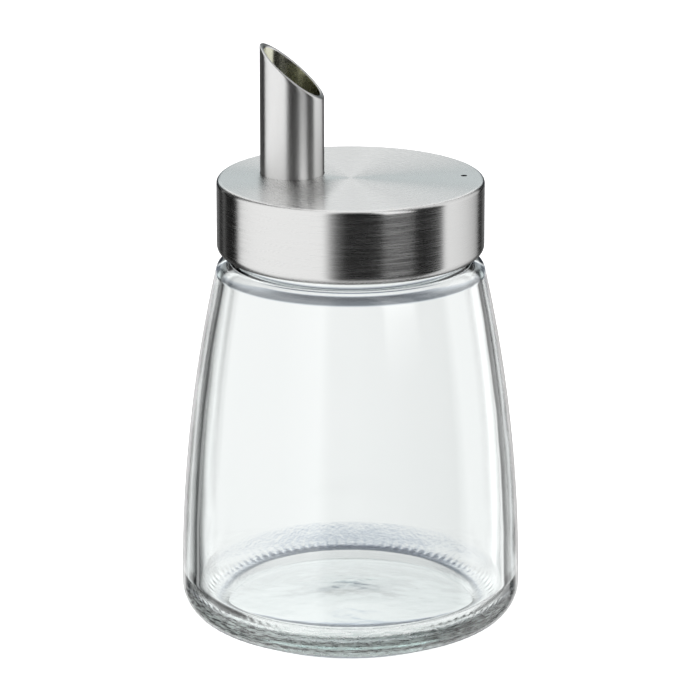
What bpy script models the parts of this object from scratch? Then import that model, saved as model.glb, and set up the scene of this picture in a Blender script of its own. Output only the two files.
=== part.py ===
"""Empty glass dispenser jar with a brushed steel lid and a slant-cut pouring tube.

The jar is turned in one piece of clear glass, wide at the foot and drawn in to a neck. The lid is
a drawn steel cap that covers the neck. The pouring tube stands in a hole in the lid, and a small
vent hole lets air in on the other side. Units are metres, +Z is up, and the jar's axis is the Z
axis, with the underside of the foot ring at z = 0.
"""

import math

import bpy

# Outside of the glass
JAR_RADIUS = 0.0400
JAR_SIDE_SWEEP = 0.350
HEEL_RADIUS = 0.0085
HEEL_SLOPE = math.radians(23)
FOOT_RING_OUTER = 0.0293
FOOT_RING_INNER = 0.0200
SHOULDER_START = 0.0863
SHOULDER_RADIUS = 0.0030
NECK_RADIUS = 0.0283
RIM_ROUNDING = 0.0008

# Inside of the glass
BORE_RADIUS = 0.0252
INNER_RADIUS = 0.0361
INNER_WIDEST_HEIGHT = 0.0170
INNER_HEEL_RADIUS = 0.0065
FLOOR_HEIGHT = 0.0062
INNER_SHOULDER_START = 0.0848
INNER_SHOULDER_RADIUS = 0.0025
INNER_SHOULDER_SLOPE = math.radians(62)
BORE_MOUTH_RADIUS = 0.0025

# Hollow under the foot
HOLLOW_HEIGHT = 0.0005

# Lid
LID_RADIUS = 0.0313
LID_TOP = 0.1083
LID_SKIRT_HEIGHT = 0.0177
LID_THICKNESS = 0.0006
LID_TOP_ROUNDING = 0.0011
LID_CURL_RADIUS = 0.0021
LID_CURL_ANGLE = math.radians(-78)
TOUCHING_GAP = 0.0003

# Pouring tube
SPOUT_X = -0.01365
SPOUT_Y = 0.00495
SPOUT_RADIUS = 0.0075
SPOUT_WALL = 0.0010
SPOUT_TIP_HEIGHT = 0.1390
SPOUT_BELOW_LID = 0.0020
SPOUT_CUT_SLOPE = math.radians(39.8)
SPOUT_CUT_BEARING = math.radians(172)
SPOUT_HOLE_GAP = 0.0002

# Vent hole
VENT_X = 0.02645
VENT_Y = 0.00195
VENT_RADIUS = 0.00075

# Facets
TURNED_STEPS = 64
SPOUT_STEPS = 48
VENT_STEPS = 12
WALL_STEPS = 9
HEEL_STEPS = 6
BEND_STEPS = 4
EDGE_STEPS = 3
HOLLOW_STEPS = 6
MERGE_DISTANCE = 0.00001
CUTTER_REACH = 0.0030


def arc(centre, radius, start, end, steps):
    """Points (r, z) along an arc, both ends included, with angles in radians from +r."""
    points = []
    for i in range(steps + 1):
        angle = start + (end - start) * i / steps
        points.append((centre[0] + radius * math.cos(angle), centre[1] + radius * math.sin(angle)))
    return points


def step_along(point, distance, angle):
    """The point (r, z) that lies this far from another at an angle from +r."""
    return point[0] + distance * math.cos(angle), point[1] + distance * math.sin(angle)


def lean_at(height, widest_height):
    """The angle that a wall on the long sweep has turned inwards at a height."""
    return math.asin((height - widest_height) / JAR_SIDE_SWEEP)


def swept_wall(widest_radius, widest_height, start_height, end_height, steps):
    """Points along a wall that curves in from its widest place on the long sweep."""
    centre = (widest_radius - JAR_SIDE_SWEEP, widest_height)
    start = lean_at(start_height, widest_height)
    end = lean_at(end_height, widest_height)
    return arc(centre, JAR_SIDE_SWEEP, start, end, steps)


def inside_profile():
    """The jar's inner surface from the middle of the floor up to the bore's mouth."""
    heel_centre = (INNER_RADIUS - INNER_HEEL_RADIUS, FLOOR_HEIGHT + INNER_HEEL_RADIUS)
    points = [(0.0, FLOOR_HEIGHT)]
    points += arc(heel_centre, INNER_HEEL_RADIUS, math.radians(-90), 0.0, HEEL_STEPS)
    widest = INNER_WIDEST_HEIGHT
    wall = swept_wall(INNER_RADIUS, widest, widest, INNER_SHOULDER_START, WALL_STEPS)
    lean = lean_at(INNER_SHOULDER_START, widest)
    points += wall
    turn_centre = step_along(wall[-1], -INNER_SHOULDER_RADIUS, lean)
    turn = arc(turn_centre, INNER_SHOULDER_RADIUS, lean, INNER_SHOULDER_SLOPE, BEND_STEPS)
    points += turn[1:]
    mouth_reach = BORE_MOUTH_RADIUS * (1 - math.cos(INNER_SHOULDER_SLOPE))
    run = (turn[-1][0] - BORE_RADIUS - mouth_reach) / math.sin(INNER_SHOULDER_SLOPE)
    run_end = step_along(turn[-1], run, INNER_SHOULDER_SLOPE + math.radians(90))
    mouth_centre = step_along(run_end, BORE_MOUTH_RADIUS, INNER_SHOULDER_SLOPE)
    half_turn = math.radians(180)
    mouth_start = INNER_SHOULDER_SLOPE + half_turn
    points += arc(mouth_centre, BORE_MOUTH_RADIUS, mouth_start, half_turn, BEND_STEPS)
    return points


def rim_profile():
    """The rounded rim from the bore over to the neck's outer side."""
    rim_height = LID_TOP - LID_THICKNESS - TOUCHING_GAP
    inner_centre = (BORE_RADIUS + RIM_ROUNDING, rim_height - RIM_ROUNDING)
    outer_centre = (NECK_RADIUS - RIM_ROUNDING, rim_height - RIM_ROUNDING)
    points = arc(inner_centre, RIM_ROUNDING, math.radians(180), math.radians(90), EDGE_STEPS)
    points += arc(outer_centre, RIM_ROUNDING, math.radians(90), 0.0, EDGE_STEPS)
    return points


def outside_profile():
    """The jar's outer surface from the foot of the neck down to the foot ring's outer edge."""
    heel_side = JAR_RADIUS - HEEL_RADIUS
    heel_bottom = HEEL_SLOPE - math.radians(90)
    slope_end = heel_side + HEEL_RADIUS * math.cos(heel_bottom)
    slope_rise = (slope_end - FOOT_RING_OUTER) * math.tan(HEEL_SLOPE)
    widest = slope_rise - HEEL_RADIUS * math.sin(heel_bottom)
    body = swept_wall(JAR_RADIUS, widest, SHOULDER_START, widest, WALL_STEPS)
    lean = lean_at(SHOULDER_START, widest)
    shoulder_centre = step_along(body[0], -SHOULDER_RADIUS, lean)
    shoulder = arc(shoulder_centre, SHOULDER_RADIUS, math.radians(90), lean, HEEL_STEPS)
    points = [(NECK_RADIUS, shoulder[0][1])]
    points += shoulder
    points += body[1:]
    points += arc((heel_side, widest), HEEL_RADIUS, 0.0, heel_bottom, HEEL_STEPS)[1:]
    points.append((FOOT_RING_OUTER, 0.0))
    return points


def foot_profile():
    """The flat foot ring and the shallow hollow inside it, which rises on half a cosine to the axis."""
    points = []
    for i in range(HOLLOW_STEPS + 1):
        share = 1 - i / HOLLOW_STEPS
        rise = HOLLOW_HEIGHT * (0.5 + 0.5 * math.cos(share * math.radians(180)))
        points.append((FOOT_RING_INNER * share, rise))
    return points


def lid_profile():
    """The cap's shell: over the top, down the skirt, round the curled edge and back up inside."""
    bottom = LID_TOP - LID_SKIRT_HEIGHT
    top_centre = (LID_RADIUS - LID_TOP_ROUNDING, LID_TOP - LID_TOP_ROUNDING)
    curl_centre = (LID_RADIUS - LID_CURL_RADIUS, bottom + LID_CURL_RADIUS)
    quarter = math.radians(90)
    points = [(0.0, LID_TOP)]
    points += arc(top_centre, LID_TOP_ROUNDING, quarter, 0.0, BEND_STEPS)
    points += arc(curl_centre, LID_CURL_RADIUS, 0.0, LID_CURL_ANGLE, BEND_STEPS)
    points += arc(curl_centre, LID_CURL_RADIUS - LID_THICKNESS, LID_CURL_ANGLE, 0.0, EDGE_STEPS)
    points += arc(top_centre, LID_TOP_ROUNDING - LID_THICKNESS, 0.0, quarter, EDGE_STEPS)
    points.append((0.0, LID_TOP - LID_THICKNESS))
    return points


def spout_profile():
    """The tube's wall as a closed loop, from below the lid up past its slanted end."""
    foot = LID_TOP - LID_THICKNESS - SPOUT_BELOW_LID
    head = SPOUT_TIP_HEIGHT + SPOUT_RADIUS
    bore = SPOUT_RADIUS - SPOUT_WALL
    return [(SPOUT_RADIUS, head), (SPOUT_RADIUS, foot), (bore, foot), (bore, head)]


def make_collection(name):
    """An empty collection in the scene."""
    collection = bpy.data.collections.new(name)
    bpy.context.scene.collection.children.link(collection)
    return collection


def make_material(name, colour, roughness, metallic, transmission):
    """A Principled material with one colour and finish all over."""
    material = bpy.data.materials.new(name)
    material.use_nodes = True
    shader = material.node_tree.nodes["Principled BSDF"]
    shader.inputs["Base Color"].default_value = (*colour, 1.0)
    shader.inputs["Roughness"].default_value = roughness
    shader.inputs["Metallic"].default_value = metallic
    shader.inputs["Transmission Weight"].default_value = transmission
    return material


def turned_object(name, profile, closed, steps, collection, material):
    """An object whose profile, drawn at +X, is turned about Z by a Screw modifier."""
    mesh = bpy.data.meshes.new(name)
    edges = [(i, i + 1) for i in range(len(profile) - 1)]
    if closed:
        edges.append((len(profile) - 1, 0))
    mesh.from_pydata([(r, 0.0, z) for r, z in profile], edges, [])
    mesh.materials.append(material)
    turned = bpy.data.objects.new(name, mesh)
    collection.objects.link(turned)
    screw = turned.modifiers.new("Turn", "SCREW")
    screw.steps = steps
    screw.render_steps = steps
    screw.use_merge_vertices = True
    screw.merge_threshold = MERGE_DISTANCE
    screw.use_smooth_shade = True
    return turned


def cylinder_cutter(name, radius, low, high, steps, place, collection):
    """An upright cylinder that cuts a round hole."""
    bpy.ops.mesh.primitive_cylinder_add(
        vertices=steps, radius=radius, depth=high - low, location=(*place, (low + high) / 2)
    )
    return as_cutter(bpy.context.object, name, collection)


def as_cutter(cutter, name, collection):
    """Names a helper object, moves it to the cutters and keeps it out of renders."""
    cutter.name = name
    for owner in list(cutter.users_collection):
        owner.objects.unlink(cutter)
    collection.objects.link(cutter)
    cutter.hide_render = True
    cutter.display_type = "WIRE"
    return cutter


def cut(target, cutter):
    """Takes a cutter's shape out of an object."""
    boolean = target.modifiers.new(cutter.name, "BOOLEAN")
    boolean.operation = "DIFFERENCE"
    boolean.solver = "EXACT"
    boolean.object = cutter


def build_jar(parts):
    """The glass jar, with its floor, wall, shoulder, neck and foot ring."""
    glass = make_material("Clear glass", (0.93, 0.96, 0.95), 0.02, 0.0, 1.0)
    profile = inside_profile() + rim_profile() + outside_profile() + foot_profile()
    turned_object("glass_jar", profile, False, TURNED_STEPS, parts, glass)


def build_lid(parts, cutters):
    """The steel cap, with the hole for the tube and the vent hole."""
    steel = make_material("Brushed steel", (0.62, 0.61, 0.59), 0.30, 1.0, 0.0)
    lid = turned_object("lid", lid_profile(), False, TURNED_STEPS, parts, steel)
    low = LID_TOP - CUTTER_REACH
    high = LID_TOP + CUTTER_REACH
    hole_radius = SPOUT_RADIUS + SPOUT_HOLE_GAP
    spout_place = (SPOUT_X, SPOUT_Y)
    cut(lid, cylinder_cutter("Spout hole", hole_radius, low, high, SPOUT_STEPS, spout_place, cutters))
    vent_place = (VENT_X, VENT_Y)
    cut(lid, cylinder_cutter("Vent hole", VENT_RADIUS, low, high, VENT_STEPS, vent_place, cutters))


def build_spout(parts, cutters):
    """The pouring tube, cut on a slant so that its mouth looks over the lid."""
    steel = make_material("Tube steel", (0.64, 0.63, 0.61), 0.26, 1.0, 0.0)
    spout = turned_object("spout", spout_profile(), True, SPOUT_STEPS, parts, steel)
    spout.location = (SPOUT_X, SPOUT_Y, 0.0)
    side = 8 * SPOUT_RADIUS
    bpy.ops.mesh.primitive_cube_add(size=side)
    cutter = as_cutter(bpy.context.object, "Slant cut", cutters)
    axis_height = SPOUT_TIP_HEIGHT - SPOUT_RADIUS * math.tan(SPOUT_CUT_SLOPE)
    low_side = SPOUT_CUT_BEARING + math.radians(180)
    lift = side / 2
    cutter.rotation_euler = (0.0, SPOUT_CUT_SLOPE, low_side)
    cutter.location = (
        SPOUT_X + lift * math.sin(SPOUT_CUT_SLOPE) * math.cos(low_side),
        SPOUT_Y + lift * math.sin(SPOUT_CUT_SLOPE) * math.sin(low_side),
        axis_height + lift * math.cos(SPOUT_CUT_SLOPE),
    )
    cut(spout, cutter)


def main():
    """Clears the scene and builds the three pieces in place."""
    for leftover in list(bpy.data.objects):
        bpy.data.objects.remove(leftover, do_unlink=True)
    parts = make_collection("Dispenser jar")
    cutters = make_collection("Cutters")
    build_jar(parts)
    build_lid(parts, cutters)
    build_spout(parts, cutters)


main()
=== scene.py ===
"""The looks of an empty pouring jar: clear glass, a brushed steel cap and a slant-cut steel tube.

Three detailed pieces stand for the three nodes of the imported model. Units are metres, +Z is up, the
jar's axis is the Z axis, and the photograph's camera looks along +Y.
"""

import logging
import math
from dataclasses import dataclass, field
from enum import Enum, IntEnum

import bmesh
import bpy
import numpy as np
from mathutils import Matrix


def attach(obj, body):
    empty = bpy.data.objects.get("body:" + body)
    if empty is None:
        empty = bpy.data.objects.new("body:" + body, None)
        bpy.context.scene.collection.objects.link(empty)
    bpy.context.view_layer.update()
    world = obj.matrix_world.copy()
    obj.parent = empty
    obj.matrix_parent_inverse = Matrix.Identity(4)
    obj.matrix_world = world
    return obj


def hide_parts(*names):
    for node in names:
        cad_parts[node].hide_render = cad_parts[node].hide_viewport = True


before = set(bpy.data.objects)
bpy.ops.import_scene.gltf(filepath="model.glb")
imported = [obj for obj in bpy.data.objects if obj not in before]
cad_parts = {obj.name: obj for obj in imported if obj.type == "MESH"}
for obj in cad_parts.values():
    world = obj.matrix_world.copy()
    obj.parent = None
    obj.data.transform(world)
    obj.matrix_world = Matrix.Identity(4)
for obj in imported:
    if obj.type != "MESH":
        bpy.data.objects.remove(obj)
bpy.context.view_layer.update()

Array = np.ndarray
Point = tuple[float, float]
Colour = tuple[float, float, float]
Socket = bpy.types.NodeSocket

BODY = "root"
SAME_POINT = 1e-6
SHARP_FROM = 20.0
QUARTER = 90.0
HALF = 180.0
WHITE = 1.0
log = logging.getLogger("pouring_jar")


class Grain(Enum):
    """How a steel surface was finished."""

    ROUND_THE_AXIS = "brushed in rings round its own axis"
    SATIN = "drawn and polished to a fine satin"


class CapPart(IntEnum):
    """The number of each of the cap's materials."""

    SIDE = 0
    # The vent hole's wall has near-black steel, painted shade in the hole.
    VENT_SHADE = 1
    TOP = 2


def arc(centre: Point, radius: float, start: float, end: float, steps: int) -> Array:
    """Points along an arc: the centre plus the radius times the cosine and sine of each angle.

    Args:
        centre: the arc's centre as (r, z).
        radius: the arc's radius.
        start: the first angle in degrees from +r.
        end: the last angle in degrees from +r.
        steps: the number of equal steps.

    Returns:
        An array of (r, z) rows, both ends included.
    """
    angles = np.radians(np.linspace(start, end, steps + 1))
    return np.column_stack([centre[0] + radius * np.cos(angles), centre[1] + radius * np.sin(angles)])


def line(start: Point, end: Point, steps: int) -> Array:
    """Points along a straight line, closer together towards its ends.

    Args:
        start: the first point as (r, z).
        end: the last point as (r, z).
        steps: the number of steps, whose shares follow half a cosine wave.

    Returns:
        An array of (r, z) rows, both ends included.
    """
    shares = (0.5 - 0.5 * np.cos(np.linspace(0.0, math.pi, steps + 1)))[:, None]
    return np.asarray(start) * (1 - shares) + np.asarray(end) * shares


def chain(*parts: Array) -> Array:
    """Joins runs of points into one profile, without the points that repeat their neighbour.

    Args:
        parts: the runs, in order.

    Returns:
        One array of (r, z) rows.
    """
    rows = np.vstack(parts)
    moved = np.linalg.norm(np.diff(rows, axis=0), axis=1) > SAME_POINT
    return rows[np.concatenate([[True], moved])]


def along(point: Point | Array, distance: float, angle: float) -> Point:
    """The point (r, z) at a distance from another, at an angle in degrees from +r."""
    turn = math.radians(angle)
    return point[0] + distance * math.cos(turn), point[1] + distance * math.sin(turn)


def ring_angles(steps: int) -> Array:
    """Equal angles round a full turn, in radians."""
    return np.linspace(0.0, 2 * math.pi, steps, endpoint=False)


def turned(profile: Array, steps: int) -> Array:
    """Turns a profile about Z: the point (r, z) becomes the ring (r cos a, r sin a, z).

    Args:
        profile: rows of (r, z).
        steps: the points in a ring.

    Returns:
        An array of shape (rows, steps, 3).
    """
    angles = ring_angles(steps)
    radius, height = profile[:, :1], profile[:, 1:]
    return np.stack(
        [radius * np.cos(angles), radius * np.sin(angles), height + np.zeros(steps)], axis=-1
    )


def grid_quads(rows: int, columns: int, close_rows: bool, close_columns: bool, first: int = 0) -> Array:
    """The quads of a grid, with their fronts where columns turn leftwards and rows rise.

    Args:
        rows: the grid's rows.
        columns: the points in a row.
        close_rows: whether the last row joins the first.
        close_columns: whether each row's last point joins its first.
        first: the number of the grid's first point in the mesh.

    Returns:
        An array of four point numbers a quad.
    """
    row = np.arange(rows if close_rows else rows - 1)[:, None]
    column = np.arange(columns if close_columns else columns - 1)[None, :]
    above, beside = (row + 1) % rows, (column + 1) % columns
    here, ahead = row * columns, above * columns
    corners = [here + column, here + beside, ahead + beside, ahead + column]
    return first + np.stack(corners, axis=-1).reshape(-1, 4)


class Surface:
    """A mesh that grows grid by grid and is closed into one skin at the end."""

    def __init__(self) -> None:
        """Starts with no points and no faces."""
        self.points: list[Array] = []
        self.faces: list[Array] = []
        self.finishes: list[Array] = []
        self.count = 0

    def add(
        self, grid: Array, close_rows: bool = False, flip: bool = False, finish: Array | int = 0
    ) -> None:
        """Adds a grid of points, whose rows are closed rings, and its quads.

        Args:
            grid: an array of shape (rows, columns, 3).
            close_rows: whether the last row joins the first.
            flip: whether the quads face the other way.
            finish: the material's number, for all the quads or for each row of them.
        """
        rows, columns = grid.shape[:2]
        quads = grid_quads(rows, columns, close_rows, True, self.count)
        self.points.append(grid.reshape(-1, 3))
        self.faces.append(quads[:, ::-1] if flip else quads)
        each_row = np.broadcast_to(finish, (len(quads) // columns,))
        self.finishes.append(np.repeat(each_row, columns))
        self.count += rows * columns

    def piece(
        self, name: str, node: str, materials: list[bpy.types.Material]
    ) -> bpy.types.Object:
        """Makes the piece that stands for a CAD node.

        Args:
            name: the piece's name.
            node: the CAD node that it replaces.
            materials: the materials of its slots.

        Returns:
            The finished object, riding on the body.
        """
        mesh = bpy.data.meshes.new(name)
        mesh.from_pydata(np.vstack(self.points).tolist(), [], np.vstack(self.faces).tolist())
        for material in materials:
            mesh.materials.append(material)
        mesh.polygons.foreach_set("material_index", np.concatenate(self.finishes).astype(np.int32))
        skin = bmesh.new()
        skin.from_mesh(mesh)
        bmesh.ops.remove_doubles(skin, verts=skin.verts, dist=SAME_POINT)
        bmesh.ops.dissolve_degenerate(skin, edges=skin.edges, dist=SAME_POINT)
        skin.to_mesh(mesh)
        skin.free()
        mesh.polygons.foreach_set("use_smooth", np.ones(len(mesh.polygons), dtype=bool))
        mesh.set_sharp_from_angle(angle=math.radians(SHARP_FROM))
        made = bpy.data.objects.new(name, mesh)
        bpy.context.scene.collection.objects.link(made)
        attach(made, BODY)
        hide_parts(node)
        triangles = sum(len(face.vertices) - 2 for face in mesh.polygons)
        log.info("%s: %d points, %d triangles, stands for %s", name, len(mesh.vertices), triangles, node)
        return made


class Bench:
    """The nodes of one material or world, laid out as they are made."""

    def __init__(self, owner: bpy.types.Material | bpy.types.World) -> None:
        """Clears the owner's nodes.

        Args:
            owner: the material or world to lay out.
        """
        owner.use_nodes = True
        self.tree = owner.node_tree
        self.tree.nodes.clear()

    def node(self, kind: str, **settings: object) -> bpy.types.Node:
        """Makes a node and sets its options.

        Args:
            kind: the node's type name without the Shader Node prefix.
            settings: options by name.

        Returns:
            The new node.
        """
        made = self.tree.nodes.new("ShaderNode" + kind)
        for name, value in settings.items():
            setattr(made, name, value)
        return made

    def feed(self, target: bpy.types.Node, socket: str | int, value: object) -> None:
        """Links a socket into an input, or sets the input's own value.

        Args:
            target: the node whose input is fed.
            socket: the input's name or number.
            value: a socket to link, or a number or colour to set.
        """
        if isinstance(value, bpy.types.NodeSocket):
            self.tree.links.new(value, target.inputs[socket])
        else:
            target.inputs[socket].default_value = value

    def math(self, operation: str, *values: object) -> Socket:
        """One step of arithmetic on numbers.

        Args:
            operation: the step's name.
            values: sockets or numbers, in the order of its inputs.

        Returns:
            The result.
        """
        step = self.node("Math", operation=operation)
        for number, value in enumerate(values):
            self.feed(step, number, value)
        return step.outputs[0]

    def vector_math(self, operation: str, output: str, *values: object) -> Socket:
        """One step of arithmetic on vectors.

        Args:
            operation: the step's name.
            output: the name of the output that is wanted.
            values: sockets or vectors, in the order of its inputs.

        Returns:
            The result.
        """
        step = self.node("VectorMath", operation=operation)
        for number, value in enumerate(values):
            self.feed(step, number, value)
        return step.outputs[output]

    def blend(self, share: object, low: object, high: object) -> Socket:
        """A colour between two.

        Args:
            share: how much of the second colour there is, from 0 to 1.
            low: the first colour.
            high: the second colour.

        Returns:
            The mixed colour.
        """
        mix = self.node("Mix", data_type="RGBA")
        self.feed(mix, "Factor", share)
        self.feed(mix, 6, low)
        self.feed(mix, 7, high)
        return mix.outputs[2]

    def remap(self, value: Socket, source: Point, result: Point, smooth: bool = False) -> Socket:
        """Carries a number from one range to another, held at its ends.

        Args:
            value: the number.
            source: the range that it comes from.
            result: the range that it goes to.
            smooth: whether it eases in and out.

        Returns:
            The carried number.
        """
        step = self.node("MapRange", interpolation_type="SMOOTHSTEP" if smooth else "LINEAR")
        for name, number in zip(("From Min", "From Max", "To Min", "To Max"), (*source, *result)):
            self.feed(step, name, number)
        self.feed(step, "Value", value)
        return step.outputs["Result"]

    def noise(self, vector: Socket, scale: float, detail: float = 2.0, roughness: float = 0.5) -> Socket:
        """Cloudy noise from 0 to 1.

        Args:
            vector: where to read it.
            scale: waves for each unit of the vector.
            detail: how many finer layers it has.
            roughness: how strong they are.

        Returns:
            The noise.
        """
        cloud = self.node("TexNoise")
        self.feed(cloud, "Vector", vector)
        self.feed(cloud, "Scale", scale)
        self.feed(cloud, "Detail", detail)
        self.feed(cloud, "Roughness", roughness)
        return cloud.outputs["Fac"]

    def bump(self, height: Socket, distance: float, strength: float = 1.0) -> Socket:
        """A normal bent by a relief.

        Args:
            height: the relief, where 1 stands for the whole distance.
            distance: the relief's depth in metres.
            strength: how strongly it bends the normal.

        Returns:
            The normal.
        """
        step = self.node("Bump")
        self.feed(step, "Height", height)
        self.feed(step, "Distance", distance)
        self.feed(step, "Strength", strength)
        return step.outputs["Normal"]


def grey(value: float) -> tuple[float, float, float, float]:
    """A neutral colour with its alpha."""
    return value, value, value, 1.0


@dataclass(frozen=True)
class GlassFinish:
    """Clear pressed glass with a faint green body, and the slight unevenness that a mould leaves.

    Scales are waves for each metre, heights and depths are metres, and a pair of heights or radii is
    where something sets in and where it is whole.
    """

    name: str = "clear_glass"
    refraction: float = 1.51
    tint_low: Colour = (0.985, 0.992, 0.990)
    tint_high: Colour = (0.995, 0.998, 0.997)
    body_colour: Colour = (0.20, 0.80, 0.72)
    body_density: float = 5.0
    ripple_scale: float = 70.0
    ripple_detail: float = 1.0
    ripple_height: float = 0.00004
    swell_scale: float = 170.0
    swell_detail: float = 1.5
    swell_height: float = 0.00009
    peel_scale: float = 1100.0
    fine_detail: float = 3.0
    fine_strength: float = 0.6
    peel_height: float = 0.00007
    peel_fade: Point = (0.0085, 0.0125)
    under_floor: Point = (0.0052, 0.0060)
    outer_side: Point = (0.0362, 0.0368)
    foot_side: Point = (0.0270, 0.0300)
    calm_share: float = 0.12
    peel_roughness: float = 0.12
    frost: Point = (0.10, 0.62)
    frost_noise: Point = (0.40, 0.62)
    frost_streaks: tuple[float, float, float] = (380.0, 380.0, 2400.0)
    frost_tint: Colour = (0.78, 0.95, 0.91)

    def material(self) -> bpy.types.Material:
        """Glass that is smooth above, and uneven on the outside of the heel and under the floor.

        The uneven part is what lies lower than the floor or further out than the inner wall, and it
        fades out above the heel. It has wide swells, fine dimples and, seen from outside, a frost in
        streaks round the ring. Under the middle of the floor the dimples and the frost are calmer.

        Returns:
            The material.
        """
        made = bpy.data.materials.new(self.name)
        bench = Bench(made)
        place = bench.node("TexCoord").outputs["Object"]
        ripple = bench.noise(place, self.ripple_scale, self.ripple_detail)
        peel = bench.noise(place, self.peel_scale, self.fine_detail, self.fine_strength)
        split = bench.node("SeparateXYZ")
        bench.feed(split, 0, place)
        height = split.outputs["Z"]
        radius = bench.vector_math(
            "LENGTH", "Value", bench.vector_math("MULTIPLY", "Vector", place, (1.0, 1.0, 0.0))
        )
        calm = bench.remap(radius, self.foot_side, (self.calm_share, 1.0), smooth=True)
        below = bench.remap(height, self.under_floor, (1.0, 0.0))
        under = bench.math("MULTIPLY", below, calm)
        outer = bench.remap(radius, self.outer_side, (0.0, 1.0))
        fade = bench.remap(height, self.peel_fade, (1.0, 0.0), smooth=True)
        low = bench.math("MULTIPLY", bench.math("MAXIMUM", under, outer), fade)
        foot = bench.math("MULTIPLY", bench.math("MAXIMUM", below, outer), fade)
        swell = bench.math("MULTIPLY", bench.noise(place, self.swell_scale, self.swell_detail), foot)
        shader = bench.node("BsdfPrincipled")
        bench.feed(shader, "Roughness", bench.math("MULTIPLY", low, self.peel_roughness))
        bench.feed(shader, "IOR", self.refraction)
        stretched = bench.vector_math("MULTIPLY", "Vector", place, self.frost_streaks)
        streaks = bench.noise(stretched, 1.0, self.fine_detail, self.fine_strength)
        outdoors = bench.math("SUBTRACT", 1.0, bench.node("NewGeometry").outputs["Backfacing"])
        frosted = bench.math("MULTIPLY", low, bench.remap(streaks, self.frost_noise, self.frost))
        mist = bench.math("MULTIPLY", frosted, outdoors)
        clear = bench.blend(ripple, (*self.tint_low, 1.0), (*self.tint_high, 1.0))
        bench.feed(shader, "Base Color", bench.blend(mist, clear, (*self.frost_tint, 1.0)))
        bench.feed(shader, "Transmission Weight", bench.math("SUBTRACT", 1.0, mist))
        dimpled = bench.math("MULTIPLY", peel, low)
        dimples = bench.math("MULTIPLY", dimpled, self.peel_height / self.ripple_height)
        swells = bench.math("MULTIPLY", swell, self.swell_height / self.ripple_height)
        relief = bench.math("ADD", ripple, bench.math("ADD", dimples, swells))
        bench.feed(shader, "Normal", bench.bump(relief, self.ripple_height))
        body = bench.node("VolumeAbsorption")
        bench.feed(body, "Color", (*self.body_colour, 1.0))
        bench.feed(body, "Density", self.body_density)
        end = bench.node("OutputMaterial")
        bench.feed(end, "Surface", shader.outputs[0])
        bench.feed(end, "Volume", body.outputs[0])
        return made


@dataclass(frozen=True)
class SteelFinish:
    """Stainless steel with a fine grain.

    The streaks' scales are waves for each metre across and along the grain, and the grain's height is
    in metres. The turn scale is the radius at which the streaks have their stated length.
    """

    name: str
    grain: Grain
    colour_low: Colour = (0.625, 0.625, 0.620)
    colour_high: Colour = (0.655, 0.655, 0.650)
    roughness_low: float = 0.20
    roughness_high: float = 0.28
    anisotropy: float = 0.97
    turn_scale: float = 0.0313
    streak_across: float = 4000.0
    streak_along: float = 90.0
    speckle: tuple[float, float, float] = (3000.0, 3000.0, 2200.0)
    grain_height: float = 0.000005
    grain_detail: float = 1.5
    grain_spread: Point = (0.35, 0.65)
    brushing_turn: float = 0.25
    # Tint of the reflection at grazing angles: below 1 it darkens the steel towards its outline, painted
    # shade standing in for dark surroundings reflected there.
    painted_edge_shade_tint: float = 0.15

    def grain_place(self, bench: Bench) -> Socket:
        """Where on the grain a point is: its direction from the axis, and the way across the rings.

        The way across the rings is the radius less the height. It runs outwards over a flat top and
        down a straight side without a break.

        Args:
            bench: the material's nodes.

        Returns:
            A vector that changes slowly along the grain and fast across it.
        """
        place = bench.node("TexCoord").outputs["Object"]
        flat = bench.vector_math("MULTIPLY", "Vector", place, (1.0, 1.0, 0.0))
        radius = bench.vector_math("LENGTH", "Value", flat)
        turn = bench.vector_math("NORMALIZE", "Vector", flat)
        split = bench.node("SeparateXYZ")
        bench.feed(split, 0, place)
        across = bench.math("SUBTRACT", radius, split.outputs["Z"])
        spun = bench.node("SeparateXYZ")
        bench.feed(spun, 0, turn)
        joined = bench.node("CombineXYZ")
        stretch = self.turn_scale * self.streak_along
        bench.feed(joined, "X", bench.math("MULTIPLY", spun.outputs["X"], stretch))
        bench.feed(joined, "Y", bench.math("MULTIPLY", spun.outputs["Y"], stretch))
        bench.feed(joined, "Z", bench.math("MULTIPLY", across, self.streak_across))
        return joined.outputs[0]

    def material(self) -> bpy.types.Material:
        """Steel whose colour, roughness and relief all follow one grain.

        Returns:
            The material.
        """
        made = bpy.data.materials.new(self.name)
        bench = Bench(made)
        if self.grain is Grain.ROUND_THE_AXIS:
            where = self.grain_place(bench)
        else:
            object_place = bench.node("TexCoord").outputs["Object"]
            where = bench.vector_math("MULTIPLY", "Vector", object_place, self.speckle)
        fine = bench.noise(where, 1.0, self.grain_detail)
        shader = bench.node("BsdfPrincipled")
        shades = bench.blend(fine, (*self.colour_low, 1.0), (*self.colour_high, 1.0))
        bench.feed(shader, "Base Color", shades)
        bench.feed(shader, "Metallic", 1.0)
        wear = bench.remap(fine, self.grain_spread, (self.roughness_low, self.roughness_high))
        bench.feed(shader, "Roughness", wear)
        bench.feed(shader, "Anisotropic", self.anisotropy)
        bench.feed(shader, "Anisotropic Rotation", self.brushing_turn)
        tangent = bench.node("Tangent", direction_type="RADIAL", axis="Z")
        bench.feed(shader, "Tangent", tangent.outputs[0])
        # The grazing tint paints shade along the outline wherever it is below 1.
        bench.feed(shader, "Specular Tint", grey(self.painted_edge_shade_tint))
        bench.feed(shader, "Normal", bench.bump(fine, self.grain_height))
        bench.feed(bench.node("OutputMaterial"), "Surface", shader.outputs[0])
        return made


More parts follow.
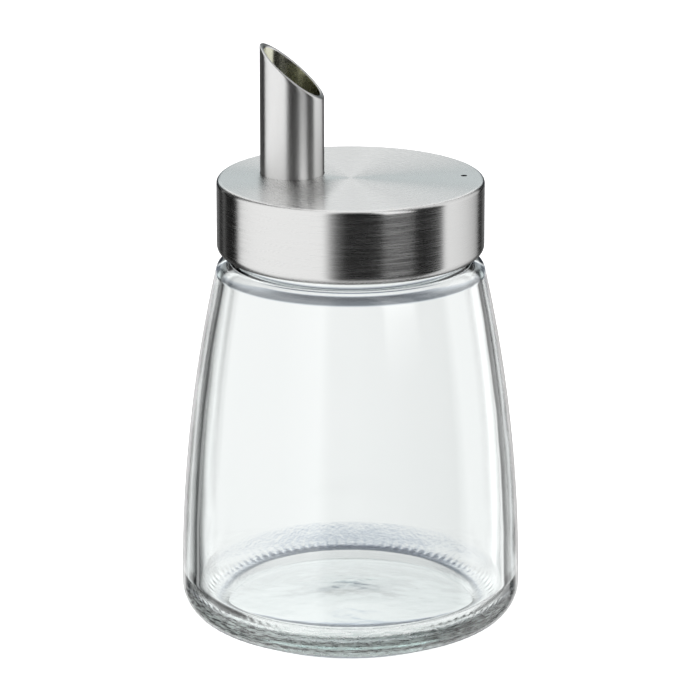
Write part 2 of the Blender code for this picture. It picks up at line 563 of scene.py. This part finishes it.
@dataclass
class GlassJar:
    """The glass, turned in one piece from under the foot, up the outside, and down the inside.

    Sizes are metres and slopes are degrees. A wall's sweep is the radius of its long outward curve.
    """

    radius: float = 0.0400
    side_sweep: float = 0.350
    heel_radius: float = 0.0085
    heel_slope: float = 23.0
    foot_outer: float = 0.0293
    foot_inner: float = 0.0200
    hollow_top: float = 0.0005
    rib_inner: float = 0.0345
    rib_outer: float = 0.0389
    rib_depth: float = 0.00018
    rib_count: int = 96
    shoulder_start: float = 0.0863
    shoulder_radius: float = 0.0030
    neck_radius: float = 0.0283
    neck_fillet: float = 0.00025
    rim_height: float = 0.1074
    rim_rounding: float = 0.0008
    bore_radius: float = 0.0252
    inner_radius: float = 0.0361
    inner_widest: float = 0.0170
    inner_heel_radius: float = 0.0065
    floor_height: float = 0.0062
    inner_shoulder_start: float = 0.0848
    inner_shoulder_radius: float = 0.0025
    inner_shoulder_slope: float = 62.0
    mouth_radius: float = 0.0025
    steps: int = 384
    hollow_steps: int = 18
    heel_steps: int = 28
    wall_steps: int = 24
    inner_heel_steps: int = 22
    shoulder_steps: int = 18
    turn_steps: int = 14
    mouth_steps: int = 12
    rim_steps: int = 8
    straight_steps: int = 6
    short_steps: int = 4
    finish: GlassFinish = field(default_factory=GlassFinish)

    def lean(self, height: float, widest: float) -> float:
        """How far a wall on the long sweep has turned inwards at a height, in degrees."""
        return math.degrees(math.asin((height - widest) / self.side_sweep))

    def foot(self) -> Array:
        """The hollow under the foot and the bearing ring.

        The hollow is highest at the axis and follows half a cosine wave down to the ring.

        Returns:
            Rows of (r, z) from the axis outwards.
        """
        share = np.linspace(0.0, 1.0, self.hollow_steps + 1)
        hollow = [self.foot_inner * share, self.hollow_top * (0.5 + 0.5 * np.cos(math.pi * share))]
        ring = line((self.foot_inner, 0.0), (self.foot_outer, 0.0), self.short_steps)
        return chain(np.column_stack(hollow), ring)

    def outside(self) -> Array:
        """The outer wall from the foot ring up over the heel, body and shoulder to the neck.

        Returns:
            Rows of (r, z) from the foot upwards.
        """
        heel_side = self.radius - self.heel_radius
        heel_bottom = self.heel_slope - QUARTER
        slope_end = heel_side + self.heel_radius * math.cos(math.radians(heel_bottom))
        slope_rise = (slope_end - self.foot_outer) * math.tan(math.radians(self.heel_slope))
        widest = slope_rise - self.heel_radius * math.sin(math.radians(heel_bottom))
        lean = self.lean(self.shoulder_start, widest)
        body = arc((self.radius - self.side_sweep, widest), self.side_sweep, 0.0, lean, self.wall_steps)
        shoulder_centre = along(body[-1], -self.shoulder_radius, lean)
        shoulder = arc(shoulder_centre, self.shoulder_radius, lean, QUARTER, self.shoulder_steps)
        fillet_centre = (self.neck_radius + self.neck_fillet, shoulder[-1][1] + self.neck_fillet)
        fillet = arc(fillet_centre, self.neck_fillet, 3 * QUARTER, HALF, self.straight_steps)
        neck_top = self.rim_height - self.rim_rounding
        return chain(
            line((self.foot_outer, 0.0), (slope_end, slope_rise), self.straight_steps),
            arc((heel_side, widest), self.heel_radius, heel_bottom, 0.0, self.heel_steps),
            body,
            shoulder,
            fillet,
            line(tuple(fillet[-1]), (self.neck_radius, neck_top), self.straight_steps),
        )

    def inside(self) -> Array:
        """The rim, the bore, the step under the neck, the inner wall, the inner heel and the floor.

        Returns:
            Rows of (r, z) from the rim downwards and in to the axis.
        """
        edge = self.rim_rounding
        top = self.rim_height - edge
        lean = self.lean(self.inner_shoulder_start, self.inner_widest)
        slope, wide = self.inner_shoulder_slope, self.inner_radius
        wall_centre = (wide - self.side_sweep, self.inner_widest)
        wall = arc(wall_centre, self.side_sweep, lean, 0.0, self.wall_steps)
        turn_centre = along(wall[0], -self.inner_shoulder_radius, lean)
        turn = arc(turn_centre, self.inner_shoulder_radius, slope, lean, self.turn_steps)
        reach = self.mouth_radius * (1 - math.cos(math.radians(slope)))
        run = (turn[0][0] - self.bore_radius - reach) / math.sin(math.radians(slope))
        run_end = along(turn[0], run, slope + QUARTER)
        mouth_centre = along(run_end, self.mouth_radius, slope)
        heel_centre = (wide - self.inner_heel_radius, self.floor_height + self.inner_heel_radius)
        return chain(
            arc((self.neck_radius - edge, top), edge, 0.0, QUARTER, self.rim_steps),
            arc((self.bore_radius + edge, top), edge, QUARTER, HALF, self.rim_steps),
            line((self.bore_radius, top), (self.bore_radius, mouth_centre[1]), self.straight_steps),
            arc(mouth_centre, self.mouth_radius, HALF, HALF + slope, self.mouth_steps),
            line(run_end, tuple(turn[0]), self.short_steps),
            turn,
            wall,
            line((wide, self.inner_widest), (wide, heel_centre[1]), self.short_steps),
            arc(heel_centre, self.inner_heel_radius, 0.0, -QUARTER, self.inner_heel_steps),
            line((heel_centre[0], self.floor_height), (0.0, self.floor_height), self.turn_steps),
        )

    def ribbed(self, profile: Array) -> Array:
        """Turns the profile about Z, with shallow grooves in the heel that leave short ribs between them.

        A point of the heel sinks along its inward normal by the depth, times the square of a half sine
        over the ribs' length, times a raised cosine round the ring. All other points stay on their ring.

        Args:
            profile: rows of (r, z), which run up the outside before they come down the inside.

        Returns:
            An array of shape (rows, steps, 3).
        """
        radius, height = profile[:, :1], profile[:, 1:]
        way = np.gradient(profile, axis=0)
        way /= np.linalg.norm(way, axis=1)[:, None]
        reach = np.clip((radius - self.rib_inner) / (self.rib_outer - self.rib_inner), 0.0, 1.0)
        depth = self.rib_depth * np.sin(math.pi * reach) ** 2 * (height < self.floor_height)
        angles = ring_angles(self.steps)
        sunk = depth * (0.5 + 0.5 * np.cos(self.rib_count * angles))
        wide = radius - sunk * way[:, 1:]
        high = height + sunk * way[:, :1]
        return np.stack([wide * np.cos(angles), wide * np.sin(angles), high], axis=-1)

    def build(self) -> bpy.types.Object:
        """Makes the jar.

        Returns:
            The finished piece.
        """
        skin = Surface()
        skin.add(self.ribbed(chain(self.foot(), self.outside(), self.inside())))
        return skin.piece("jar_glass", "glass_jar", [self.finish.material()])


@dataclass
class SteelCap:
    """The drawn cap, with the hole that the tube stands in and the vent hole.

    A hole is its centre's x and y and its radius. The parting is the x of the straight line that
    divides the flat top into a patch round each hole.
    """

    radius: float = 0.0313
    top: float = 0.1083
    skirt_height: float = 0.0177
    thickness: float = 0.0006
    top_rounding: float = 0.0011
    curl_radius: float = 0.0021
    curl_angle: float = -78.0
    tube_hole: tuple[float, float, float] = (-0.01365, 0.00495, 0.00757)
    vent_hole: tuple[float, float, float] = (0.02645, 0.00195, 0.00075)
    parting: float = 0.0100
    edge_rows: int = 6
    steps: int = 256
    plate_rows: int = 24
    parting_steps: int = 40
    side_steps: int = 24
    inner_side_steps: int = 16
    curl_steps: int = 16
    tip_steps: int = 12
    edge_steps: int = 14
    inner_edge_steps: int = 8
    # The side's steel keeps the default grazing tint, which paints shade along the cap's outline.
    finish: SteelFinish = SteelFinish("lid_side_steel", Grain.ROUND_THE_AXIS)
    top_finish: SteelFinish = SteelFinish(
        "lid_top_steel",
        Grain.ROUND_THE_AXIS,
        colour_low=(0.635, 0.635, 0.630),
        colour_high=(0.650, 0.650, 0.645),
        roughness_low=0.255,
        roughness_high=0.285,
        grain_height=0.0000004,
        painted_edge_shade_tint=1.0,
    )
    # Near-black steel on the vent hole's wall: painted shade that makes the hole read dark.
    vent_shade_finish: SteelFinish = SteelFinish(
        "vent_hole_painted_shade",
        Grain.SATIN,
        colour_low=(0.02, 0.02, 0.02),
        colour_high=(0.05, 0.05, 0.05),
        roughness_low=0.5,
        roughness_high=0.6,
        anisotropy=0.0,
        painted_edge_shade_tint=1.0,
    )

    def skirt(self) -> Array:
        """The shell from the edge of the flat top down the outside, round the curl and back up.

        Returns:
            Rows of (r, z) from the underside's edge, down, out, and up to the top's edge.
        """
        bottom = self.top - self.skirt_height
        top_centre = (self.radius - self.top_rounding, self.top - self.top_rounding)
        curl_centre = (self.radius - self.curl_radius, bottom + self.curl_radius)
        inner_curl = self.curl_radius - self.thickness
        half_wall = self.thickness / 2
        tip_centre = along(curl_centre, self.curl_radius - half_wall, self.curl_angle)
        tip = arc(tip_centre, half_wall, self.curl_angle - HALF, self.curl_angle, self.tip_steps)
        inner = self.radius - self.thickness
        return chain(
            arc(top_centre, self.top_rounding - self.thickness, QUARTER, 0.0, self.inner_edge_steps),
            line((inner, top_centre[1]), (inner, curl_centre[1]), self.inner_side_steps),
            arc(curl_centre, inner_curl, 0.0, self.curl_angle, self.tip_steps),
            tip,
            arc(curl_centre, self.curl_radius, self.curl_angle, 0.0, self.curl_steps),
            line((self.radius, curl_centre[1]), (self.radius, top_centre[1]), self.side_steps),
            arc(top_centre, self.top_rounding, 0.0, QUARTER, self.edge_steps),
        )

    def plate_patch(self, loop: Array, hole: tuple[float, float, float], height: float, rows: int) -> Array:
        """The flat plate between a hole and the loop round it.

        Each loop point is joined by a straight ray to the point where the ray to the hole's centre
        meets the hole's edge.

        Args:
            loop: points (x, y) round the patch, anticlockwise.
            hole: the hole's centre x, centre y and radius.
            height: the plate's z.
            rows: the rows between the loop and the hole.

        Returns:
            A grid of shape (rows, points, 3) from the loop inwards.
        """
        centre = np.asarray(hole[:2])
        outward = loop - centre
        edge = centre + hole[2] * outward / np.linalg.norm(outward, axis=1)[:, None]
        shares = np.linspace(0.0, 1.0, rows)[:, None, None]
        flat = loop[None] * (1 - shares) + edge[None] * shares
        return np.concatenate([flat, np.full(flat.shape[:2] + (1,), height)], axis=-1)

    def plate_loops(self) -> tuple[Array, Array]:
        """The flat top's edge, parted by a straight line into a loop for each hole.

        Returns:
            The loop round the tube's hole and the loop round the vent hole, as (x, y) rows.
        """
        angles = ring_angles(self.steps)
        edge = (self.radius - self.top_rounding) * np.column_stack([np.cos(angles), np.sin(angles)])
        right = edge[:, 0] > self.parting
        start = int(np.argmin(right))
        left_arc = edge[start : start + int((~right).sum())]
        right_arc = np.roll(edge, -(start + len(left_arc)), axis=0)[: int(right.sum())]
        shares = np.linspace(0.0, 1.0, self.parting_steps + 1)[:, None]
        cut_down = left_arc[-1] * (1 - shares) + left_arc[0] * shares
        around_tube = np.vstack([left_arc, cut_down[1:-1]])
        around_vent = np.vstack([cut_down[::-1][:-1], left_arc[-1:], right_arc])
        return around_tube, around_vent

    def build(self) -> bpy.types.Object:
        """Makes the cap.

        Returns:
            The finished piece.
        """
        skin = Surface()
        shell = self.skirt()
        # The rows round the top's rounded edge take the top's steel, which has no painted edge shade.
        top_rows = np.arange(len(shell) - 1) >= len(shell) - 1 - self.edge_rows
        skin.add(turned(shell, self.steps), finish=np.where(top_rows, CapPart.TOP, CapPart.SIDE))
        under = self.top - self.thickness
        # The vent hole's wall takes the near-black steel, painted shade in the hole.
        rims = (CapPart.SIDE, CapPart.VENT_SHADE)
        for rim, loop, hole in zip(rims, self.plate_loops(), (self.tube_hole, self.vent_hole)):
            upper = self.plate_patch(loop, hole, self.top, self.plate_rows)
            lower = self.plate_patch(loop, hole, under, self.plate_rows)
            skin.add(upper, finish=CapPart.TOP)
            skin.add(lower, flip=True, finish=CapPart.TOP)
            skin.add(np.stack([upper[-1], lower[-1]]), finish=rim)
        materials = [each.material() for each in (self.finish, self.vent_shade_finish, self.top_finish)]
        return skin.piece("lid_steel_cap", "lid", materials)


@dataclass
class PouringTube:
    """The steel tube, cut on a slant, with a softly rounded rim.

    The slant's slope and the compass bearing of its highest point are in degrees.
    """

    axis: Point = (-0.01365, 0.00495)
    radius: float = 0.0075
    wall: float = 0.0010
    tip_height: float = 0.1390
    foot_height: float = 0.1057
    cut_slope: float = 39.8
    cut_bearing: float = 172.0
    rim_rounding: float = 0.00032
    steps: int = 192
    side_rows: int = 24
    rim_steps: int = 7
    flat_steps: int = 4
    # The tube's outer steel keeps the default grazing tint, which paints shade along its outline.
    finish: SteelFinish = SteelFinish(
        "tube_satin_steel",
        Grain.SATIN,
        colour_low=(0.67, 0.67, 0.665),
        colour_high=(0.72, 0.72, 0.715),
        roughness_low=0.32,
        roughness_high=0.40,
        anisotropy=0.93,
        grain_height=0.000012,
    )
    # Darker, yellowed steel inside the bore: painted shade and a painted warm reflection of the bore's own
    # walls.
    bore_painted_reflection: SteelFinish = SteelFinish(
        "tube_bore_painted_reflection",
        Grain.SATIN,
        colour_low=(0.58, 0.58, 0.46),
        colour_high=(0.68, 0.68, 0.55),
        roughness_low=0.22,
        roughness_high=0.28,
        anisotropy=0.6,
        painted_edge_shade_tint=1.0,
    )

    def section(self) -> tuple[Array, Array, Array, Array]:
        """The wall's section as a closed loop, up the outside, over the rim and down the bore.

        Returns:
            The radius, the share of the way up the wall, the drop below the cut and the finish's number,
            for each row.
        """
        bore, edge, rows = self.radius - self.wall, self.rim_rounding, self.side_rows
        outer = arc((self.radius - edge, -edge), edge, 0.0, QUARTER, self.rim_steps)
        inner = arc((bore + edge, -edge), edge, QUARTER, HALF, self.rim_steps)
        flat = line(tuple(outer[-1]), tuple(inner[0]), self.flat_steps)
        rim = chain(outer, flat, inner)
        share = np.linspace(0.0, 1.0, rows + 1)[:-1]
        radius = np.concatenate([np.full(rows, self.radius), rim[:, 0], np.full(rows, bore)])
        climb = np.concatenate([share, np.ones(len(rim)), share[::-1]])
        drop = np.concatenate([np.full(rows, -edge), rim[:, 1], np.full(rows, -edge)])
        # The bore's rows take the second material, with its painted shade and warm reflection.
        finish = (np.arange(len(radius)) >= len(radius) - rows - 1).astype(int)
        return radius, climb, drop, finish

    def build(self) -> bpy.types.Object:
        """Makes the tube: each point climbs from the foot towards the slanted plane over it.

        Returns:
            The finished piece.
        """
        angles = ring_angles(self.steps)
        *shape, finish = self.section()
        radius, climb, drop = (column[:, None] for column in shape)
        slope = math.tan(math.radians(self.cut_slope))
        lean = np.cos(angles - math.radians(self.cut_bearing))
        plane = self.tip_height + slope * (radius * lean - self.radius)
        height = self.foot_height + climb * (plane + drop - self.foot_height)
        x = self.axis[0] + radius * np.cos(angles)
        y = self.axis[1] + radius * np.sin(angles)
        skin = Surface()
        skin.add(np.stack([x, y, height], axis=-1), close_rows=True, finish=finish)
        materials = [self.finish.material(), self.bore_painted_reflection.material()]
        return skin.piece("spout_tube", "spout", materials)


@dataclass
class Studio:
    """A plain pale floor and soft panels all round, with dark gaps between them.

    Bearings run from the camera's side at 0 round to the back at 180 either way, heights from straight
    down at -90 to straight up at 90, and both are degrees. A row of stops is an angle and its light. A
    sector is the bearing where something sets in and the one where it is whole.
    """

    floor_half: float = 4.0
    floor_glow: float = 0.85
    floor_white: float = 0.80
    brightest: float = 1.60
    gaps: tuple[tuple[float, float], ...] = (
        (-180.0, 0.98),
        (-177.5, 0.91),
        (-168.0, 0.88),
        (-165.0, 1.30),
        (-159.0, 1.40),
        (-156.0, 0.95),
        (-152.0, 0.42),
        (-149.0, 0.20),
        (-145.0, 0.02),
        (-142.5, 0.02),
        (-140.5, 0.42),
        (-137.5, 0.42),
        (-136.0, 0.02),
        (-115.0, 0.02),
        (-110.0, 1.28),
        (-24.0, 1.25),
        (-17.0, 0.45),
        (-12.0, 0.15),
        (-4.0, 0.015),
        (84.0, 0.015),
        (89.0, 1.15),
        (139.0, 1.05),
        (141.0, 0.20),
        (142.5, 0.02),
        (146.0, 0.02),
        (149.0, 0.20),
        (152.0, 0.42),
        (156.0, 0.95),
        (159.0, 1.35),
        (168.0, 0.88),
        (177.5, 0.93),
        (180.0, 0.98),
    )
    back_wall: tuple[tuple[float, Colour], ...] = (
        (-90.0, (1.00, 1.00, 1.00)),
        (-12.0, (1.00, 1.00, 1.00)),
        (-9.5, (0.60, 0.64, 0.70)),
        (-6.5, (0.20, 0.22, 0.25)),
        (-4.0, (0.10, 0.11, 0.13)),
        (6.0, (0.10, 0.11, 0.13)),
        (10.0, (0.78, 0.85, 0.86)),
        (20.0, (0.82, 0.88, 0.89)),
        (28.0, (1.60, 1.60, 1.60)),
        (90.0, (1.60, 1.60, 1.60)),
    )
    back_sector: Point = (147.0, 152.0)
    tilt_rise: Point = (-18.5, -15.0)
    tilt_turn: Point = (0.0, 5.0)
    tilt_reach: Point = (151.0, 156.0)
    tilt_stop: float = 143.0
    table_edge: tuple[tuple[float, Colour], ...] = (
        (-90.0, (1.00, 1.00, 1.00)),
        (-38.0, (1.00, 1.00, 1.00)),
        (-35.5, (0.12, 0.14, 0.18)),
        (-29.5, (0.12, 0.14, 0.18)),
        (-28.0, (0.45, 0.50, 0.60)),
        (-27.0, (0.84, 0.87, 0.92)),
        (-26.2, (1.00, 1.00, 1.00)),
        (90.0, (1.00, 1.00, 1.00)),
    )
    edge_sector: Point = (166.0, 175.0)
    table_seam: tuple[tuple[float, Colour], ...] = (
        (-90.0, (1.00, 1.00, 1.00)),
        (-28.5, (1.00, 1.00, 1.00)),
        (-27.0, (0.63, 0.68, 0.75)),
        (-25.3, (0.63, 0.68, 0.75)),
        (-24.4, (1.00, 1.00, 1.00)),
        (90.0, (1.00, 1.00, 1.00)),
    )
    seam_sector: Point = (177.0, 179.3)
    through_walls: float = 3.5
    backdrop_sector: Point = (134.0, 138.0)
    backdrop: float = 0.93
    lamp_bearing: Point = (28.0, 56.0)
    lamp_rise: Point = (4.0, 80.0)
    lamp_edges: Point = (6.0, 8.0)
    lamp: float = 1.55
    overhead_rise: Point = (66.0, 86.0)
    overhead: float = 1.15
    under_rise: Point = (-62.0, -48.0)

    def floor(self) -> bpy.types.Object:
        """A wide level plane that glows a little, so that it photographs white.

        Returns:
            The floor, hidden from diffuse, glossy and transmission rays.
        """
        side = np.array([-self.floor_half, self.floor_half])
        across, deep = np.meshgrid(side, side)
        points = np.stack([across, deep, np.zeros_like(across)], axis=-1)
        mesh = bpy.data.meshes.new("floor")
        mesh.from_pydata(points.reshape(-1, 3).tolist(), [], grid_quads(2, 2, False, False).tolist())
        pale = bpy.data.materials.new("pale_floor")
        bench = Bench(pale)
        matt, glow, both = bench.node("BsdfDiffuse"), bench.node("Emission"), bench.node("AddShader")
        bench.feed(matt, "Color", grey(self.floor_white))
        bench.feed(glow, "Strength", self.floor_glow)
        bench.feed(both, 0, matt.outputs[0])
        bench.feed(both, 1, glow.outputs[0])
        bench.feed(bench.node("OutputMaterial"), "Surface", both.outputs[0])
        mesh.materials.append(pale)
        made = bpy.data.objects.new("floor", mesh)
        bpy.context.scene.collection.objects.link(made)
        made.visible_diffuse = False
        made.visible_glossy = False
        made.visible_transmission = False
        return made

    def panels(self) -> None:
        """Lights the scene from all round: the light depends on the bearing and on the height.

        The panels and gaps stand upright, but lean forward near the table beside the back wall. The back
        wall, the table's far edge and the seam behind it darken the panels' light by height. One lamp
        stands at the front right, and the ceiling and the space under the table are plain. What is seen
        straight through the glass on the other sides is a plain pale backdrop.
        """
        world = bpy.data.worlds.new("soft_studio")
        bpy.context.scene.world = world
        bench = Bench(world)
        split = bench.node("SeparateXYZ")
        bench.feed(split, 0, bench.node("TexCoord").outputs["Generated"])
        east, north, up = (split.outputs[name] for name in "XYZ")
        bearing = bench.math("DEGREES", bench.math("ARCTAN2", east, bench.math("MULTIPLY", north, -1.0)))
        rise = bench.math("DEGREES", bench.math("ARCSINE", up))
        turned_away = bench.math("ABSOLUTE", bearing)
        near_gap = bench.remap(turned_away, self.tilt_reach, (1.0, 0.0))
        tilt = bench.math("MULTIPLY", bench.remap(rise, self.tilt_rise, self.tilt_turn), near_gap)
        held = bench.math("MINIMUM", turned_away, self.tilt_stop)
        leaned = bench.math("MAXIMUM", bench.math("SUBTRACT", turned_away, tilt), held)
        compass = bench.math("MULTIPLY", leaned, bench.math("SIGN", bearing))
        panel_rows = [(angle, (light, light, light)) for angle, light in self.gaps]
        around = self.ramp(bench, compass, HALF, panel_rows)
        behind_rows = (
            (self.back_sector, self.back_wall),
            (self.edge_sector, self.table_edge),
            (self.seam_sector, self.table_seam),
        )
        for sector, stops in behind_rows:
            behind = bench.remap(turned_away, sector, (0.0, 1.0), smooth=True)
            wall = bench.blend(behind, grey(WHITE), self.ramp(bench, rise, QUARTER, stops))
            around = bench.vector_math("MULTIPLY", "Vector", around, wall)
        front = self.window(bench, bearing, *self.lamp_bearing, self.lamp_edges[0])
        high = self.window(bench, rise, *self.lamp_rise, self.lamp_edges[1])
        lamp = bench.math("MULTIPLY", bench.math("MULTIPLY", front, high), self.lamp)
        sides = bench.vector_math("MAXIMUM", "Vector", around, lamp)
        route = bench.node("LightPath").outputs
        through = bench.math("GREATER_THAN", route["Transmission Depth"], self.through_walls)
        ahead = bench.remap(turned_away, self.backdrop_sector, (1.0, 0.0))
        sides = bench.blend(bench.math("MULTIPLY", through, ahead), sides, grey(self.backdrop))
        overhead = bench.remap(rise, self.overhead_rise, (0.0, 1.0), smooth=True)
        below = bench.remap(rise, self.under_rise, (1.0, 0.0), smooth=True)
        capped = bench.blend(overhead, sides, grey(self.overhead))
        whole = bench.blend(below, capped, grey(WHITE))
        studio, plain, seen = bench.node("Background"), bench.node("Background"), bench.node("MixShader")
        bench.feed(studio, "Color", whole)
        bench.feed(plain, "Color", grey(WHITE))
        bench.feed(seen, 0, route["Is Camera Ray"])
        bench.feed(seen, 1, studio.outputs[0])
        bench.feed(seen, 2, plain.outputs[0])
        bench.feed(bench.node("OutputWorld"), "Surface", seen.outputs[0])

    def ramp(self, bench: Bench, angle: Socket, reach: float, stops: object) -> Socket:
        """A colour that follows an angle through a row of stops.

        Args:
            bench: the nodes that it joins.
            angle: the angle in degrees.
            reach: the angle at both ends of the ramp, once negative and once positive.
            stops: rows of an angle and its colour.

        Returns:
            The colour.
        """
        made = bench.node("ValToRGB")
        bench.feed(made, "Fac", bench.remap(angle, (-reach, reach), (0.0, 1.0)))
        marks = made.color_ramp.elements
        for number, (where, colour) in enumerate(stops):
            place = (where + reach) / (2 * reach)
            mark = marks[number] if number < len(marks) else marks.new(place)
            mark.position = place
            mark.color = (*(part / self.brightest for part in colour), 1.0)
        return bench.vector_math("MULTIPLY", "Vector", made.outputs["Color"], (self.brightest,) * 3)

    def window(self, bench: Bench, value: Socket, low: float, high: float, soft: float) -> Socket:
        """A number that is 1 between two limits and eases to 0 outside them.

        Args:
            bench: the nodes that it joins.
            value: the angle to test, in degrees.
            low: the lower limit.
            high: the upper limit.
            soft: how wide each edge is.

        Returns:
            The number.
        """
        rising = bench.remap(value, (low - soft / 2, low + soft / 2), (0.0, 1.0), smooth=True)
        falling = bench.remap(value, (high - soft / 2, high + soft / 2), (1.0, 0.0), smooth=True)
        return bench.math("MULTIPLY", rising, falling)


@dataclass
class PhotoCamera:
    """The camera that was fitted to the photograph's outline.

    The target, distance and clipping are metres, the downward pitch is degrees, and the lens and the
    sensor are millimetres.
    """

    target: tuple[float, float, float] = (0.0, 0.0, 0.05985)
    distance: float = 1.197
    pitch: float = 16.64
    lens: float = 261.24
    sensor: float = 36.0
    image_side: float = 700.0
    shift_pixels: Point = (-0.6, 27.0)
    clip: Point = (0.05, 50.0)

    def place(self) -> bpy.types.Object:
        """Puts the camera on its line of sight and makes it the scene's own.

        Returns:
            The camera.
        """
        data = bpy.data.cameras.new("photo_camera")
        data.lens, data.sensor_width, data.sensor_fit = self.lens, self.sensor, "HORIZONTAL"
        data.shift_x, data.shift_y = (pixels / self.image_side for pixels in self.shift_pixels)
        data.clip_start, data.clip_end = self.clip
        camera = bpy.data.objects.new("photo_camera", data)
        down = math.radians(self.pitch)
        x, y, z = self.target
        camera.location = (x, y - self.distance * math.cos(down), z + self.distance * math.sin(down))
        camera.rotation_euler = (math.radians(QUARTER) - down, 0.0, 0.0)
        bpy.context.scene.collection.objects.link(camera)
        bpy.context.scene.camera = camera
        return camera


def main() -> None:
    """Builds the jar, cap and tube in order, then the studio and the camera."""
    logging.basicConfig(level=logging.INFO, format="%(message)s")
    for part in (GlassJar(), SteelCap(), PouringTube()):
        part.build()
    studio = Studio()
    studio.floor()
    studio.panels()
    PhotoCamera().place()
    bpy.context.scene.view_settings.view_transform = "Standard"


if __name__ == "__main__":
    main()
